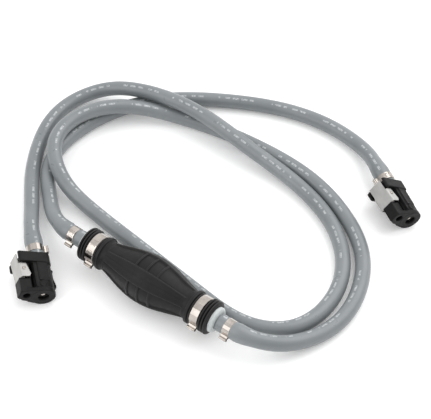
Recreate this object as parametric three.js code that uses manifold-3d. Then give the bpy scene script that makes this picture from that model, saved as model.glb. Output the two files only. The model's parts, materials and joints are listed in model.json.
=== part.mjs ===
// Outboard fuel line: a rubber primer bulb between two lengths of hose, with a
// latching quick connector on each free end.  Millimetres, +Z up, standing on Z = 0.
import * as THREE from 'three';
import { mergeVertices } from 'three/addons/utils/BufferGeometryUtils.js';
import Module from 'manifold-3d';

const wasm = await Module();
wasm.setup();

// ---------------------------------------------------------------- driving sizes
const FIT = 0.3;                 // clearance between pieces that touch or nest

// hose
const HOSE_OD = 16;
const HOSE_BORE = 9.5;
const HOSE_SIDES = 10;
const LONG_STEPS = 60;
const SHORT_STEPS = 20;

// one-ear crimp clamps
const CLAMP_BAND = 0.8;          // band thickness
const HOSE_CLAMP_WIDTH = 8;
const BULB_CLAMP_WIDTH = 9;
const EAR_WIDTH = 6;
const EAR_RISE = 4.2;
const EAR_WALL = 0.9;
const CLAMP_FROM_END = { inlet: 10.5, outlet: 8.5, connector: 6 };   // cut end to band

// hose barbs
const BARB_OD = HOSE_BORE - 1.1;
const BARB_NECK = BARB_OD - 1;
const BARB_BORE = BARB_NECK - 2.2;
const BARB_LENGTH = 15;
const BULB_BARB_LENGTH = 17.5;
const BARB_RIDGES = 3;

// primer bulb
const BULB_OD = 51;
const BULB_HALF = 50;            // middle of the bulb to the root of a cuff
const BULB_WALL = 3.5;
const CUFF_OD = 30.6;
const CUFF_LENGTH = 29;
const CUFF_BORE = 22.6;
const CUFF_CLAMP_AT = 14.5;       // root of the cuff to the middle of its clamp
const BULB_SWELL = 1.25;         // how quickly the bulb fills out from its cuffs
const BULB_EAR_ANGLE = 112;      // degrees round the bulb's axis to its clamps' ears
const VALVE_FLANGE_OD = CUFF_BORE + 4.4;
const VALVE_FLANGE = { inlet: 1.4, outlet: 4.9 };
const VALVE_PLUG = 26;
const VALVE_CHAMBER_OD = 15;
const VALVE_CHAMBER = 12;
const VALVE_RING = 2.8;
const VALVE_RING_BORE = 6.4;
const POPPET_DISC_OD = 12.67;
const POPPET_DISC = 1.9;
const POPPET_STEM = 4.8;
const POPPET_STEM_OD = 3;
const VALVE_SPRING_OD = 9;
const POPPET_TRAVEL = 1.8;

// quick connector, in its own frame: port centre at the origin, +Y to the rear,
// +X to the plain side, +Z to the top of the moulding
const FACE_OD = 24.6;
const GUIDE_LOBE_OD = 15.2;
const GUIDE_OFFSET = 17.5;
const FACE_THICK = 4;
const BARREL_OD = 22.4;
const HOUSING_LENGTH = 46;
const RIB_WIDTH = 11;
const RIB_PROUD = 0.7;
const RIB_FROM_FACE = 10;
const PAD_OD = 6.6;
const PAD_PROUD = 1.1;
const PAD_AT = [-2.5, 4.5];      // across from the port's axis, and back from the face
const WING_THICK = 2.5;
const WING_LIFT = -1;
const WING_REACH = 3.4;
const BAR_DEPTH = 11.7;
const BAR_HEIGHT = 23.6;
const BAR_LEFT = 24.2;
const BAR_RIGHT = 12.3;
const BAR_CHAMFER = 4;
const BAR_EDGE = 1.2;
const BLOCK_LENGTH = 17.2;
const BLOCK_HEIGHT = 13;
const BLOCK_LEFT = 25;
const CORE_LEFT = 21.6;
const CORE_HEIGHT = 15.2;
const HOOK_SPACE = 3;
const PORT_OD = 10.4;
const GUIDE_OD = 7.5;
const GUIDE_DEPTH = 24;
const SEAL_GROOVE_OD = PORT_OD + 3.2;
const SEAL_AT = 3.2;
const SEAL_WIDTH = 2.8;
const CHAMBER_END = 26;
const PASSAGE_OD = 6;
const SHANK_OD = 11;
const SHANK_LENGTH = 16.4;
const PLUNGER_NOSE_OD = PORT_OD - 3.8;
const PLUNGER_NOSE = 1;
const PLUNGER_NOSE_BEVEL = 0.6;
const PLUNGER_DISC_OD = PORT_OD - 0.8;
const PLUNGER_DISC = 3;
const PLUNGER_STEM_OD = 3.4;
const PLUNGER_STEM = 6;
const PLUNGER_TRAVEL = 3.5;

// latch lever
const LATCH_SHEET = 0.9;
const LATCH_HEIGHT = 18.4;
const LATCH_FLANGE_REAR = 6;
const LATCH_FLANGE_REACH = 6.2;
const LATCH_WEB_AT = 4.3;        // pivot to the outside of the web
const LATCH_HOOK_REACH = 4.2;
const LATCH_TILT = 4.5;          // degrees, thumb end sprung outwards
const PIVOT_X = 19.6;
const PIVOT_Y = HOUSING_LENGTH - 18.6;
const LATCH_REAR = 18.2;         // pivot to the thumb end
const LATCH_FRONT = PIVOT_Y - BLOCK_LENGTH - 0.4;    // pivot to the hook end, behind the block
const PIN_OD = 2.6;
const PIN_HEAD_OD = 4.4;
const PIN_HEAD = 0.6;
const THUMB_SPRING_Y = HOUSING_LENGTH - 6;
const THUMB_SPRING_OD = 5;
const THUMB_POCKET_DEPTH = 5.7;
const BAR_POCKET = 4.2;

// springs
const WIRE = 0.8;

// ---------------------------------------------------------------- layout
// Where each rigid piece lies on the table, and the hose routes between them.
const BULB_AT = [-70.9, -40.3];
const BULB_HEADING = -126.05;    // degrees about Z that turn +Y to the outlet end
const CONNECTORS = {
  left: { at: [-175.2, -51.4, 12.35], heading: 13.4, roll: 25.2, lift: 4, ear: 75 },
  right: { at: [195.4, 46.2, 12.35], heading: 22.4, roll: 35.7, lift: 4, ear: -120 },
};
const CONNECTOR_LEAD = [0, 16, 30];   // straight lengths of hose out of a connector's barb
const BULB_LEAD = [0, 9, 18];         // and out of the bulb
const TABLE_CENTRE = [2.47, 2.65];    // from the layout's origin to the part's own

// Centreline points between the straight leads, chosen by hand.
const LONG_ROUTE = [
  [-197.5, 60, 13.5], [-202, 108, 9.6], [-199, 158, 8.4], [-184, 203, 8.4], [-160, 227.5, 9.8],
  [-126, 236, 16], [-92, 226.5, 23.4], [-42, 201, 26.4], [-5, 173.5, 24], [31, 142, 18.3],
  [70, 109, 11], [117, 37, 8.2], [116, -37, 8.2], [66, -85.5, 8.2], [31, -83, 8.2],
  [-20, -46.5, 8.2], [-99, 28.5, 8.2], [-138, 66, 9], [-163, 93, 14.5], [-176.5, 120, 22],
  [-178.5, 149, 24.9], [-164, 177, 25.1], [-136, 195, 25.1], [-100, 203, 20.6], [-58, 200.5, 11.4],
  [-14, 185, 8.2], [44, 151, 8.2], [100, 102, 8.2], [130, 53, 8.2], [143, 2, 8.2], [137, -38, 8.2],
  [115, -77, 8.2], [80, -102, 12], [45, -111, 21],
];
const SHORT_ROUTE = [
  [-166, 34.5, 23], [-174, 52, 18], [-181, 82, 10], [-185.5, 112, 8.2], [-180, 145, 8.2],
  [-155.5, 180.5, 8.2], [-117, 209, 8.2], [-72, 225, 8.2], [-24, 227.5, 8.2], [22, 222.5, 8.2],
  [67, 212, 8.2], [108, 193.5, 8.2], [138, 169.5, 8.9], [158, 142, 12],
];

// ---------------------------------------------------------------- finishes
const FINISH = {
  hose: { color: 0x8f979c, roughness: 0.42, metalness: 0 },
  bulb: { color: 0x1b1b1c, roughness: 0.55, metalness: 0 },
  housing: { color: 0x232326, roughness: 0.5, metalness: 0 },
  steel: { color: 0xc9c6c0, roughness: 0.28, metalness: 1 },
  latch: { color: 0xc4c2bd, roughness: 0.35, metalness: 1 },
  brass: { color: 0xb58c46, roughness: 0.35, metalness: 1 },
  seal: { color: 0x121212, roughness: 0.6, metalness: 0 },
  valve: { color: 0xe6e6e0, roughness: 0.4, metalness: 0 },
};

// ---------------------------------------------------------------- helpers
const radians = THREE.MathUtils.degToRad;

// Turns every face outwards, whichever way the outline was drawn.
function outward(geometry) {
  const bare = new THREE.BufferGeometry();
  bare.setAttribute('position', geometry.getAttribute('position').clone());
  if (geometry.index) bare.setIndex(geometry.index.clone());
  const merged = mergeVertices(bare, 1e-4);
  const p = merged.getAttribute('position');
  const index = merged.index.array;
  const [a, b, c] = [new THREE.Vector3(), new THREE.Vector3(), new THREE.Vector3()];
  const kept = [];
  let volume = 0;
  for (let i = 0; i < index.length; i += 3) {
    const [u, v, w] = [index[i], index[i + 1], index[i + 2]];
    if (u === v || v === w || w === u) continue;
    kept.push(u, v, w);
    a.fromBufferAttribute(p, u);
    b.fromBufferAttribute(p, v);
    c.fromBufferAttribute(p, w);
    volume += a.dot(b.cross(c));
  }
  if (volume < 0) kept.reverse();
  merged.setIndex(kept);
  return merged;
}

function solid(geometry) {
  const clean = outward(geometry);
  return new wasm.Manifold(new wasm.Mesh({
    numProp: 3,
    vertProperties: new Float32Array(clean.getAttribute('position').array),
    triVerts: new Uint32Array(clean.index.array),
  }));
}

function join(geometries) {
  return geometries.map(solid).reduce((sum, next) => sum.add(next));
}

function cut(body, geometries) {
  return geometries.map(solid).reduce((rest, next) => rest.subtract(next), body);
}

function toGeometry(body) {
  const mesh = body.getMesh();
  const geometry = new THREE.BufferGeometry();
  geometry.setAttribute('position', new THREE.BufferAttribute(mesh.vertProperties, 3));
  geometry.setIndex(new THREE.BufferAttribute(mesh.triVerts, 1));
  return geometry;
}

function part(name, geometry, finish) {
  geometry.computeVertexNormals();
  const mesh = new THREE.Mesh(geometry, new THREE.MeshStandardMaterial(FINISH[finish]));
  mesh.name = name;
  return mesh;
}

// A box between two corners.
function block(low, high) {
  const size = high.map((value, i) => value - low[i]);
  const box = new THREE.BoxGeometry(...size);
  box.translate(...high.map((value, i) => (value + low[i]) / 2));
  return box;
}

// A round bar along Y from y0 to y1.
function rod(diameter, y0, y1, sides = 24) {
  const bar = new THREE.CylinderGeometry(diameter / 2, diameter / 2, y1 - y0, sides);
  bar.translate(0, (y0 + y1) / 2, 0);
  return bar;
}

// A body of revolution about Y from [radius, y] points that close on themselves.
function turned(points, sides = 16) {
  const profile = [...points, points[0]].map(([r, y]) => new THREE.Vector2(r, y));
  return outward(new THREE.LatheGeometry(profile, sides));
}

// A prism from a shape drawn in X and Z, run along Y from y0 to y1.
function prism(shape, y0, y1, curveSegments = 12) {
  const run = new THREE.ExtrudeGeometry(shape, { depth: y1 - y0, bevelEnabled: false, curveSegments });
  run.rotateX(Math.PI / 2);
  run.translate(0, y1, 0);
  return run;
}

// A flat plate from [x, y] points, from z0 to z1.
function plate(points, z0, z1) {
  const shape = new THREE.Shape(points.map(([x, y]) => new THREE.Vector2(x, y)));
  const sheet = new THREE.ExtrudeGeometry(shape, { depth: z1 - z0, bevelEnabled: false });
  sheet.translate(0, 0, z0);
  return sheet;
}

class Helix extends THREE.Curve {
  constructor(radius, length, turns) {
    super();
    this.size = { radius, length, turns };
  }

  getPoint(t, target = new THREE.Vector3()) {
    const angle = 2 * Math.PI * this.size.turns * t;
    const { radius, length } = this.size;
    return target.set(radius * Math.cos(angle), length * t, radius * Math.sin(angle));
  }
}

// A compression spring along Y between two seats, touching neither.
function spring(outer, y0, y1, turns) {
  const rise = y1 - y0 - WIRE;
  const path = new Helix((outer - WIRE) / 2, rise, turns);
  const section = new THREE.Shape().absarc(0, 0, WIRE / 2, 0, 2 * Math.PI);
  const coil = new THREE.ExtrudeGeometry(section, {
    steps: Math.round(turns * 9),
    curveSegments: 3,
    extrudePath: path,
  });
  coil.translate(0, y0 + WIRE / 2, 0);
  return outward(coil);
}

// ---------------------------------------------------------------- shared pieces
// Crimp clamp about Y: a band round diameter `bore`, with one folded ear at `earAngle`.
function clamp(bore, width, y0, earAngle) {
  const inner = bore / 2 + FIT;
  const outer = inner + CLAMP_BAND;
  const top = outer + EAR_RISE;
  const band = join([
    rod(2 * outer, y0, y0 + width, 24),
    block([-EAR_WIDTH / 2, y0, 0], [EAR_WIDTH / 2, y0 + width, top]),
  ]);
  const gap = EAR_WIDTH / 2 - EAR_WALL;
  const cleared = cut(band, [
    rod((2 * inner) / Math.cos(Math.PI / 24), y0 - 1, y0 + width + 1, 24),
    block([-gap, y0 - 1, 0], [gap, y0 + width + 1, top - EAR_WALL]),
  ]);
  const geometry = toGeometry(cleared);
  geometry.rotateY(earAngle);
  return geometry;
}

// Outline of a hose barb's outside, `length` long from y0, as [radius, y] points.
function barbOutline(y0, length) {
  const pitch = (length - 2) / BARB_RIDGES;
  const points = [[BARB_NECK / 2, y0 + 1]];
  for (let i = 0; i < BARB_RIDGES; i += 1) {
    const start = y0 + 1.5 + i * pitch;
    points.push([BARB_NECK / 2, start]);
    points.push([BARB_OD / 2, start + 0.4]);
    points.push([BARB_NECK / 2, start + pitch - 0.2]);
  }
  return points;
}

// ---------------------------------------------------------------- primer bulb
const CUFF_END = BULB_HALF + CUFF_LENGTH;
const FLANGE_START = CUFF_END + FIT;
const FLANGE_END = {
  inlet: FLANGE_START + VALVE_FLANGE.inlet,
  outlet: FLANGE_START + VALVE_FLANGE.outlet,
};
const HOSE_START = { inlet: FLANGE_END.inlet + FIT, outlet: FLANGE_END.outlet + FIT };
const PLUG_START = FLANGE_START - VALVE_PLUG;
const SEAT_AT = PLUG_START + VALVE_CHAMBER;

function bulbRadius(y) {
  const swell = Math.cos((Math.PI / 2) * (y / BULB_HALF));
  return CUFF_OD / 2 + (BULB_OD / 2 - CUFF_OD / 2) * swell ** BULB_SWELL;
}

function primerBulb() {
  const stations = 12;
  const outside = [[CUFF_OD / 2, -CUFF_END]];
  const inside = [];
  for (let i = 0; i <= stations; i += 1) {
    const y = BULB_HALF * (-1 + (2 * i) / stations);
    outside.push([bulbRadius(y), y]);
    const inner = Math.max(CUFF_BORE / 2, bulbRadius(y) - BULB_WALL);
    inside.unshift([inner, y]);
  }
  outside.push([CUFF_OD / 2, CUFF_END]);
  const bore = [[CUFF_BORE / 2, CUFF_END], ...inside, [CUFF_BORE / 2, -CUFF_END]];
  return turned([...outside, ...bore], 24);
}

// Everything below is drawn for the end at +Y.
function valveBody(flangeEnd) {
  return turned([
    [BARB_BORE / 2, SEAT_AT],
    [VALVE_CHAMBER_OD / 2, SEAT_AT],
    [VALVE_CHAMBER_OD / 2, PLUG_START],
    [CUFF_BORE / 2 - FIT, PLUG_START],
    [CUFF_BORE / 2 - FIT, FLANGE_START],
    [VALVE_FLANGE_OD / 2, FLANGE_START],
    [VALVE_FLANGE_OD / 2, flangeEnd],
    [BARB_NECK / 2, flangeEnd],
    ...barbOutline(flangeEnd, BULB_BARB_LENGTH),
    [BARB_BORE / 2, flangeEnd + BULB_BARB_LENGTH],
  ], 16);
}

function valveRing() {
  const outer = VALVE_CHAMBER_OD / 2 - FIT;
  return turned([
    [VALVE_RING_BORE / 2, PLUG_START + FIT],
    [outer, PLUG_START + FIT],
    [outer, PLUG_START + FIT + VALVE_RING],
    [VALVE_RING_BORE / 2, PLUG_START + FIT + VALVE_RING],
  ]);
}

// A disc with a stem; `way` is +1 when the stem points outwards from the disc.
function poppet(discAt, way) {
  const disc = POPPET_DISC_OD / 2;
  const stem = POPPET_STEM_OD / 2;
  const face = discAt + way * POPPET_DISC;
  return turned([
    [0, discAt],
    [disc, discAt],
    [disc, face],
    [stem, face],
    [stem, face + way * POPPET_STEM],
    [0, face + way * POPPET_STEM],
  ]);
}

const RING_OUT = PLUG_START + FIT + VALVE_RING;
const INLET_DISC = SEAT_AT - FIT;
const OUTLET_DISC = RING_OUT + FIT;

function inletSpring() {
  return spring(VALVE_SPRING_OD, RING_OUT + FIT, INLET_DISC - POPPET_DISC - FIT, 3);
}

function outletSpring() {
  return spring(VALVE_SPRING_OD, OUTLET_DISC + POPPET_DISC + FIT, SEAT_AT - FIT, 3);
}

function bulbAssembly() {
  const group = new THREE.Group();
  group.position.set(BULB_AT[0], BULB_AT[1], BULB_OD / 2);
  group.rotation.z = radians(BULB_HEADING);
  group.add(part('primer_bulb', primerBulb(), 'bulb'));

  const inlet = new THREE.Group();
  inlet.rotation.z = Math.PI;
  inlet.add(part('inlet_poppet', poppet(INLET_DISC, -1), 'valve'));
  inlet.add(part('inlet_spring', inletSpring(), 'steel'));
  inlet.add(part('inlet_valve_cage', valveRing(), 'valve'));

  const outlet = new THREE.Group();
  outlet.add(part('outlet_poppet', poppet(OUTLET_DISC, 1), 'valve'));
  outlet.add(part('outlet_spring', outletSpring(), 'steel'));
  outlet.add(part('outlet_valve_seat', valveRing(), 'valve'));

  const cuffClamp = BULB_HALF + CUFF_CLAMP_AT - BULB_CLAMP_WIDTH / 2;
  const earAngle = radians(BULB_EAR_ANGLE);
  for (const [side, end, ear] of [['inlet', inlet, -earAngle], ['outlet', outlet, earAngle]]) {
    const cuffBand = clamp(CUFF_OD, BULB_CLAMP_WIDTH, cuffClamp, ear);
    const hoseClamp = HOSE_START[side] + CLAMP_FROM_END[side];
    const hoseBand = clamp(HOSE_OD, HOSE_CLAMP_WIDTH, hoseClamp, ear);
    end.add(part(`${side}_valve_body`, valveBody(FLANGE_END[side]), 'valve'));
    end.add(part(`${side}_bulb_clamp`, cuffBand, 'steel'));
    end.add(part(`${side}_hose_clamp`, hoseBand, 'steel'));
    group.add(end);
  }
  return group;
}

// ---------------------------------------------------------------- quick connector
const CORE_START = BLOCK_LENGTH + HOOK_SPACE;
const BAR_START = HOUSING_LENGTH - BAR_DEPTH;
const SHANK_START = HOUSING_LENGTH - SHANK_LENGTH;
const SEAL_END = SEAL_AT + SEAL_WIDTH;
const PLUNGER_FACE = SEAL_END + FIT;

// Egg outline of the coupling face: two round lobes and their tangents.
function faceShape() {
  const big = FACE_OD / 2;
  const small = GUIDE_LOBE_OD / 2;
  const tangent = Math.PI - Math.acos((big - small) / GUIDE_OFFSET);
  const shape = new THREE.Shape();
  shape.absarc(0, 0, big, -tangent, tangent, false);
  shape.absarc(-GUIDE_OFFSET, 0, small, tangent, 2 * Math.PI - tangent, false);
  shape.closePath();
  return shape;
}

function barShape() {
  const top = BAR_HEIGHT / 2;
  const shape = new THREE.Shape();
  shape.moveTo(-BAR_LEFT + BAR_EDGE, -top);
  shape.lineTo(BAR_RIGHT - BAR_CHAMFER, -top);
  shape.lineTo(BAR_RIGHT, -top + BAR_CHAMFER);
  shape.lineTo(BAR_RIGHT, top - BAR_CHAMFER);
  shape.lineTo(BAR_RIGHT - BAR_CHAMFER, top);
  shape.lineTo(-BAR_LEFT + BAR_EDGE, top);
  shape.lineTo(-BAR_LEFT, top - BAR_EDGE);
  shape.lineTo(-BAR_LEFT, -top + BAR_EDGE);
  shape.closePath();
  return shape;
}

// Thin moulded rib on the plain side of the barrel.
function sideWing() {
  const root = BARREL_OD / 2 - 1.2;
  const step = BARREL_OD / 2 + WING_REACH - 2;
  const tip = BARREL_OD / 2 + WING_REACH;
  return plate([
    [root, FACE_THICK + 10], [step, FACE_THICK + 7], [tip - 0.4, FACE_THICK + 7.5],
    [tip, FACE_THICK + 10.5], [step, BAR_START - 10], [step + 0.6, BAR_START - 1],
    [root, BAR_START + 1],
  ], WING_LIFT, WING_LIFT + WING_THICK);
}

function housing() {
  const core = CORE_HEIGHT / 2;
  const inside = BARREL_OD / 2 - 3;     // how far in a block reaches to meet the barrel
  const rib = BARREL_OD / 2 + RIB_PROUD;
  const padTop = BARREL_OD / 2 + PAD_PROUD;
  const pad = new THREE.CylinderGeometry(PAD_OD / 2, PAD_OD / 2, padTop, 16);
  pad.rotateX(Math.PI / 2);
  pad.translate(PAD_AT[0], FACE_THICK + PAD_AT[1], padTop / 2);
  const body = join([
    prism(faceShape(), 0, FACE_THICK),
    rod(BARREL_OD, FACE_THICK / 2, BAR_START + 1, 24),
    block([-RIB_WIDTH / 2, FACE_THICK + RIB_FROM_FACE, -rib], [RIB_WIDTH / 2, BAR_START + 1, rib]),
    prism(barShape(), BAR_START, HOUSING_LENGTH),
    block([-BLOCK_LEFT, 1, -BLOCK_HEIGHT / 2], [-inside, BLOCK_LENGTH, BLOCK_HEIGHT / 2]),
    block([-CORE_LEFT, CORE_START, -core], [-inside, BAR_START + 1, core]),
    sideWing(),
    pad,
  ]);
  const pocketTop = LATCH_HEIGHT / 2 + 2 * FIT;
  const pocketFloor = BAR_LEFT - BAR_POCKET;
  const pinHole = new THREE.CylinderGeometry(PIN_OD / 2 + FIT, PIN_OD / 2 + FIT, BAR_HEIGHT, 16);
  pinHole.rotateX(Math.PI / 2);
  pinHole.translate(-PIVOT_X, PIVOT_Y, 0);
  const springHole = rod(THUMB_SPRING_OD + 4 * FIT, 0, THUMB_POCKET_DEPTH + 1, 16);
  springHole.rotateZ(-Math.PI / 2);
  springHole.translate(-pocketFloor - 1, THUMB_SPRING_Y, 0);
  const guideBore = rod(GUIDE_OD, -1, GUIDE_DEPTH, 24);
  guideBore.translate(-GUIDE_OFFSET, 0, 0);
  return toGeometry(cut(body, [
    rod(PORT_OD, -1, CHAMBER_END, 20),
    rod(SEAL_GROOVE_OD, SEAL_AT, SEAL_END, 20),
    rod(PASSAGE_OD, CHAMBER_END - 1, SHANK_START + 1, 12),
    rod(SHANK_OD + 2 * FIT, SHANK_START, HOUSING_LENGTH + 1, 16),
    guideBore,
    block([-BAR_LEFT - 1, BAR_START - 1, -pocketTop], [-pocketFloor, HOUSING_LENGTH + 1, pocketTop]),
    pinHole,
    springHole,
  ]));
}

// O-ring in the port.
function portSeal() {
  const wide = SEAL_WIDTH / 2 - FIT;
  const outer = SEAL_GROOVE_OD / 2 - FIT;
  const middle = outer - wide;
  const points = [];
  for (let i = 0; i < 6; i += 1) {
    const angle = (2 * Math.PI * i) / 6;
    points.push([middle + wide * Math.cos(angle), SEAL_AT + SEAL_WIDTH / 2 + wide * Math.sin(angle)]);
  }
  return turned(points, 20);
}

function valvePlunger() {
  const nose = PLUNGER_NOSE_OD / 2;
  const disc = PLUNGER_DISC_OD / 2;
  const stem = PLUNGER_STEM_OD / 2;
  const discEnd = PLUNGER_FACE + PLUNGER_DISC;
  return turned([
    [0, PLUNGER_FACE - PLUNGER_NOSE],
    [nose - PLUNGER_NOSE_BEVEL, PLUNGER_FACE - PLUNGER_NOSE],
    [nose, PLUNGER_FACE - PLUNGER_NOSE + PLUNGER_NOSE_BEVEL],
    [nose, PLUNGER_FACE],
    [disc, PLUNGER_FACE],
    [disc, discEnd],
    [stem, discEnd],
    [stem, discEnd + PLUNGER_STEM],
    [0, discEnd + PLUNGER_STEM],
  ]);
}

function plungerSpring() {
  const seat = PLUNGER_FACE + PLUNGER_DISC + FIT;
  return spring(PLUNGER_DISC_OD - 4 * FIT, seat, CHAMBER_END - FIT, 4);
}

// Barbed insert that carries the hose.
function hoseBarb() {
  return turned([
    [BARB_BORE / 2, SHANK_START + FIT],
    [SHANK_OD / 2, SHANK_START + FIT],
    [SHANK_OD / 2, HOUSING_LENGTH],
    [BARB_NECK / 2, HOUSING_LENGTH],
    ...barbOutline(HOUSING_LENGTH, BARB_LENGTH),
    [BARB_BORE / 2, HOUSING_LENGTH + BARB_LENGTH],
  ], 16);
}

// Pressed steel lever: a web with two flanges and a hook behind the guide hole,
// drawn about its pivot and tilted with its thumb end outwards.
function latchLever() {
  const top = LATCH_HEIGHT / 2;
  const web = -LATCH_WEB_AT;
  const reach = LATCH_FLANGE_REACH;
  const flange = [
    [web, -LATCH_FRONT], [reach - 2, -LATCH_FRONT], [reach, -LATCH_FRONT + 3.1],
    [reach - 2.8, LATCH_FLANGE_REAR], [web, LATCH_FLANGE_REAR],
  ];
  const hookFar = LATCH_FRONT - 0.3;
  const body = join([
    block([web, -LATCH_FRONT, -top], [web + LATCH_SHEET, LATCH_REAR, top]),
    plate(flange, top - LATCH_SHEET, top),
    plate(flange, -top, -top + LATCH_SHEET),
    block([web, -hookFar, -top + 2], [web + LATCH_HOOK_REACH, -hookFar + LATCH_SHEET, top - 2]),
  ]);
  const hole = new THREE.CylinderGeometry(PIN_OD / 2 + FIT, PIN_OD / 2 + FIT, LATCH_HEIGHT + 2, 16);
  hole.rotateX(Math.PI / 2);
  const geometry = toGeometry(cut(body, [hole]));
  geometry.rotateZ(radians(LATCH_TILT));
  geometry.translate(-PIVOT_X, PIVOT_Y, 0);
  return geometry;
}

function latchPin() {
  const end = LATCH_HEIGHT / 2 + FIT;
  const geometry = turned([
    [0, -end - PIN_HEAD],
    [PIN_HEAD_OD / 2, -end - PIN_HEAD],
    [PIN_HEAD_OD / 2, -end],
    [PIN_OD / 2, -end],
    [PIN_OD / 2, end],
    [PIN_HEAD_OD / 2, end],
    [PIN_HEAD_OD / 2, end + PIN_HEAD],
    [0, end + PIN_HEAD],
  ], 16);
  geometry.rotateX(Math.PI / 2);
  geometry.translate(-PIVOT_X, PIVOT_Y, 0);
  return geometry;
}

// Spring between the bar and the thumb end of the lever.
function latchSpring() {
  const lean = (THUMB_SPRING_Y - PIVOT_Y) * Math.sin(radians(LATCH_TILT));
  const webInside = PIVOT_X + LATCH_WEB_AT - LATCH_SHEET + lean;
  const seat = BAR_LEFT - BAR_POCKET - THUMB_POCKET_DEPTH;
  const coil = spring(THUMB_SPRING_OD, 0, webInside - seat - 4 * FIT, 4);
  coil.rotateZ(Math.PI / 2);
  coil.translate(-seat - 2 * FIT, THUMB_SPRING_Y, 0);
  return coil;
}

function connector(side, place) {
  const group = new THREE.Group();
  group.position.set(...place.at);
  group.rotation.set(radians(place.lift), radians(place.roll), radians(place.heading), 'ZXY');
  const clampAt = HOUSING_LENGTH + FIT + CLAMP_FROM_END.connector;
  group.add(part(`${side}_housing`, housing(), 'housing'));
  group.add(part(`${side}_port_seal`, portSeal(), 'seal'));
  group.add(part(`${side}_valve_plunger`, valvePlunger(), 'steel'));
  group.add(part(`${side}_plunger_spring`, plungerSpring(), 'steel'));
  group.add(part(`${side}_hose_barb`, hoseBarb(), 'brass'));
  group.add(part(`${side}_latch_lever`, latchLever(), 'latch'));
  group.add(part(`${side}_latch_pin`, latchPin(), 'steel'));
  group.add(part(`${side}_latch_spring`, latchSpring(), 'steel'));
  const band = clamp(HOSE_OD, HOSE_CLAMP_WIDTH, clampAt, radians(place.ear));
  group.add(part(`${side}_hose_clamp`, band, 'steel'));
  return group;
}

// ---------------------------------------------------------------- hoses
// Natural cubic spline through points, spaced by their chords, so its bend is continuous.
// Cut into `steps`, it has its first and last cut at the ends of the straight leads.
class HoseCurve extends THREE.Curve {
  constructor(points, steps, leadIn, leadOut) {
    super();
    this.arcLengthDivisions = 1000;
    this.cuts = { steps, leadIn, leadOut };
    const count = points.length;
    const knots = [0];
    for (let i = 1; i < count; i += 1) {
      knots.push(knots[i - 1] + points[i].distanceTo(points[i - 1]));
    }
    // Second derivatives by forward elimination and back substitution.
    const upper = [0];
    const bends = [new THREE.Vector3()];
    for (let i = 1; i < count - 1; i += 1) {
      const before = knots[i] - knots[i - 1];
      const after = knots[i + 1] - knots[i];
      const pivot = 2 * (before + after) - before * upper[i - 1];
      const rise = points[i + 1].clone().sub(points[i]).multiplyScalar(6 / after);
      const fall = points[i].clone().sub(points[i - 1]).multiplyScalar(6 / before);
      upper.push(after / pivot);
      bends.push(rise.sub(fall).addScaledVector(bends[i - 1], -before).divideScalar(pivot));
    }
    bends.push(new THREE.Vector3());
    for (let i = count - 2; i > 0; i -= 1) bends[i].addScaledVector(bends[i + 1], -upper[i]);
    this.spline = { points, knots, bends };
  }

  getPoint(t, target = new THREE.Vector3()) {
    const { points, knots, bends } = this.spline;
    const at = t * knots[knots.length - 1];
    let i = 0;
    while (i < knots.length - 2 && at > knots[i + 1]) i += 1;
    const gap = knots[i + 1] - knots[i];
    const b = (at - knots[i]) / gap;
    const a = 1 - b;
    return target.set(0, 0, 0)
      .addScaledVector(points[i], a)
      .addScaledVector(points[i + 1], b)
      .addScaledVector(bends[i], ((a ** 3 - a) * gap ** 2) / 6)
      .addScaledVector(bends[i + 1], ((b ** 3 - b) * gap ** 2) / 6);
  }

  getUtoTmapping(u) {
    const { steps, leadIn, leadOut } = this.cuts;
    const length = this.getLength();
    const cut = u * steps;
    let run = leadIn + ((cut - 1) * (length - leadIn - leadOut)) / (steps - 2);
    if (cut < 1) run = cut * leadIn;
    if (cut > steps - 1) run = length - (steps - cut) * leadOut;
    return super.getUtoTmapping(u, run);
  }
}

// End of a straight lead, from its list of runs.
const leadLength = (runs) => runs[runs.length - 1];

// The straight leads out of a barb, along the group's Y from y0.
function leads(group, y0, runs, way = 1) {
  group.updateMatrixWorld(true);
  return runs.map((run) => group.localToWorld(new THREE.Vector3(0, way * (y0 + run), 0)));
}

function hoseTube(route, steps, firstLead, lastLead) {
  const path = new HoseCurve(route, steps, leadLength(firstLead), leadLength(lastLead));
  const section = new THREE.Shape().absarc(0, 0, HOSE_OD / 2, 0, 2 * Math.PI);
  section.holes.push(new THREE.Path().absarc(0, 0, HOSE_BORE / 2, 0, 2 * Math.PI));
  return outward(new THREE.ExtrudeGeometry(section, {
    steps,
    curveSegments: HOSE_SIDES / 2,
    extrudePath: path,
  }));
}

function route(first, middle, last) {
  const between = middle.map((point) => new THREE.Vector3(...point));
  return [...first, ...between, ...last.reverse()];
}

// ---------------------------------------------------------------- the fuel line
const fuelLine = new THREE.Group();
const bulb = bulbAssembly();
const left = connector('left', CONNECTORS.left);
const right = connector('right', CONNECTORS.right);
const connectorExit = HOUSING_LENGTH + FIT;
const longRoute = route(
  leads(left, connectorExit, CONNECTOR_LEAD),
  LONG_ROUTE,
  leads(bulb, HOSE_START.outlet, BULB_LEAD),
);
const shortRoute = route(
  leads(bulb, HOSE_START.inlet, BULB_LEAD, -1),
  SHORT_ROUTE,
  leads(right, connectorExit, CONNECTOR_LEAD),
);
fuelLine.add(bulb, left, right);
const longTube = hoseTube(longRoute, LONG_STEPS, CONNECTOR_LEAD, BULB_LEAD);
const shortTube = hoseTube(shortRoute, SHORT_STEPS, BULB_LEAD, CONNECTOR_LEAD);
fuelLine.add(part('hose_long', longTube, 'hose'));
fuelLine.add(part('hose_short', shortTube, 'hose'));

fuelLine.position.set(...TABLE_CENTRE, 0);

export default fuelLine;
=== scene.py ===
import json
from math import acos, atan2, cos, pi, radians, sin

import bmesh
import bpy
import numpy as np
from mathutils import Matrix, Vector


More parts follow.
